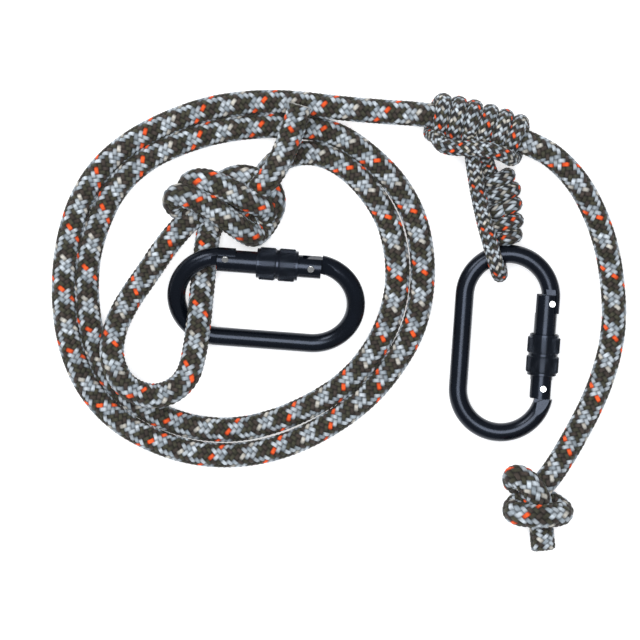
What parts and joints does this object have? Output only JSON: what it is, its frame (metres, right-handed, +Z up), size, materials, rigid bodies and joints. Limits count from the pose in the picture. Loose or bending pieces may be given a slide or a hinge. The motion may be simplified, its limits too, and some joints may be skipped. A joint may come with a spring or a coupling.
{
  "type": "friction hitch rope ascender",
  "caption": "Climbing ascender of braided rope with a tied loop, a stopper knot and a sliding friction hitch of thinner cord, each loop holding an oval screw-lock carabiner.",
  "frame": {"origin": "middle of the bounding box, at the surface the ascender lies on", "axes": "+Z up from that surface; +X along the longest extent, from the tied loop towards the stopper knot"},
  "size_m": [0.3209, 0.2563, 0.0382],
  "materials": {
    "rope_braid": "woven, matt",
    "cord_braid": "woven, matt",
    "anodised_body": "satin black anodised",
    "anodised_gate": "satin black anodised",
    "anodised_sleeve": "satin black anodised, knurled",
    "bright_rivet": "polished",
    "inner_steel": "plain"
  },
  "bodies": {
    "main_rope": {"rope_tail": "rope_braid", "loop_knot": "rope_braid", "loop_strand": "rope_braid", "coil_inner_turn_right": "rope_braid", "coil_inner_turn_left": "rope_braid", "coil_outer_turn_right": "rope_braid", "coil_outer_turn_left": "rope_braid", "rope_through_hitch": "rope_braid", "rope_right_run": "rope_braid", "stopper_knot": "rope_braid", "rope_end": "rope_braid"},
    "hitch": {"hitch_wraps": "cord_braid", "hitch_bridge": "cord_braid", "hitch_leg_and_bight": "cord_braid", "hitch_back_leg": "cord_braid", "joining_knot_upper_barrel": "cord_braid", "joining_knot_lower_barrel": "cord_braid", "cord_tail_upper": "cord_braid", "cord_tail_lower": "cord_braid"},
    "loop_carabiner": {"loop_carabiner_frame": "anodised_body"},
    "loop_gate": {"loop_carabiner_gate": "anodised_gate", "loop_carabiner_hinge_rivet": "bright_rivet", "loop_carabiner_latch_pin": "bright_rivet", "loop_carabiner_gate_spring": "inner_steel"},
    "loop_sleeve": {"loop_carabiner_locking_sleeve": "anodised_sleeve"},
    "loop_plunger": {"loop_carabiner_spring_plunger": "inner_steel"},
    "hitch_carabiner": {"hitch_carabiner_frame": "anodised_body"},
    "hitch_gate": {"hitch_carabiner_gate": "anodised_gate", "hitch_carabiner_hinge_rivet": "bright_rivet", "hitch_carabiner_latch_pin": "bright_rivet", "hitch_carabiner_gate_spring": "inner_steel"},
    "hitch_sleeve": {"hitch_carabiner_locking_sleeve": "anodised_sleeve"},
    "hitch_plunger": {"hitch_carabiner_spring_plunger": "inner_steel"}
  },
  "joints": [
    {"name": "hitch_slide_along_rope", "type": "hinge", "parent": "main_rope", "child": "hitch", "pos_m": [0.0238, -0.0852, 0.0163], "axis": [0, 0, 1], "range_deg": [0, 6]},
    {"name": "loop_carabiner_swing", "type": "hinge", "parent": "main_rope", "child": "loop_carabiner", "pos_m": [-0.0766, 0.0103, 0.0158], "axis": [-0.0825, -0.9646, 0.2504], "range_deg": [0, 20]},
    {"name": "hitch_carabiner_swing", "type": "hinge", "parent": "hitch", "child": "hitch_carabiner", "pos_m": [0.08719, 0.03551, 0.01549], "axis": [-0.9631, -0.2675, -0.0303], "range_deg": [0, 80]},
    {"name": "loop_carabiner_gate_hinge", "type": "hinge", "parent": "loop_carabiner", "child": "loop_gate", "pos_m": [-0.01548, 0.03009, 0.02402], "axis": [-0.0298, -0.396, 0.9178], "range_deg": [0, 25], "stiffness_Nm_per_rad": 0.5, "springref_deg": -20.05},
    {"name": "loop_carabiner_sleeve_screw", "type": "slide", "parent": "loop_gate", "child": "loop_sleeve", "axis": [-0.9972, 0.075, 0], "range_m": [0, 0.016]},
    {"name": "loop_carabiner_plunger_slide", "type": "slide", "parent": "loop_gate", "child": "loop_plunger", "axis": [-0.9972, 0.075, 0], "range_m": [0, 0.0009], "deforming": ["loop_carabiner_gate_spring"]},
    {"name": "hitch_carabiner_gate_hinge", "type": "hinge", "parent": "hitch_carabiner", "child": "hitch_gate", "pos_m": [0.11325, -0.03811, 0.00897], "axis": [-0.0062, -0.0904, 0.9959], "range_deg": [0, 25], "stiffness_Nm_per_rad": 0.5, "springref_deg": -20.05},
    {"name": "hitch_carabiner_sleeve_screw", "type": "slide", "parent": "hitch_gate", "child": "hitch_sleeve", "axis": [0.0677, 0.9936, 0.0906], "range_m": [0, 0.016]},
    {"name": "hitch_carabiner_plunger_slide", "type": "slide", "parent": "hitch_gate", "child": "hitch_plunger", "axis": [0.0677, 0.9936, 0.0906], "range_m": [0, 0.0009], "deforming": ["hitch_carabiner_gate_spring"]}
  ],
  "couplings": [
    {"joint": "loop_carabiner_plunger_slide", "follows": "loop_carabiner_gate_hinge", "m_per_rad": 0.002037},
    {"joint": "hitch_carabiner_plunger_slide", "follows": "hitch_carabiner_gate_hinge", "m_per_rad": 0.002037}
  ]
}
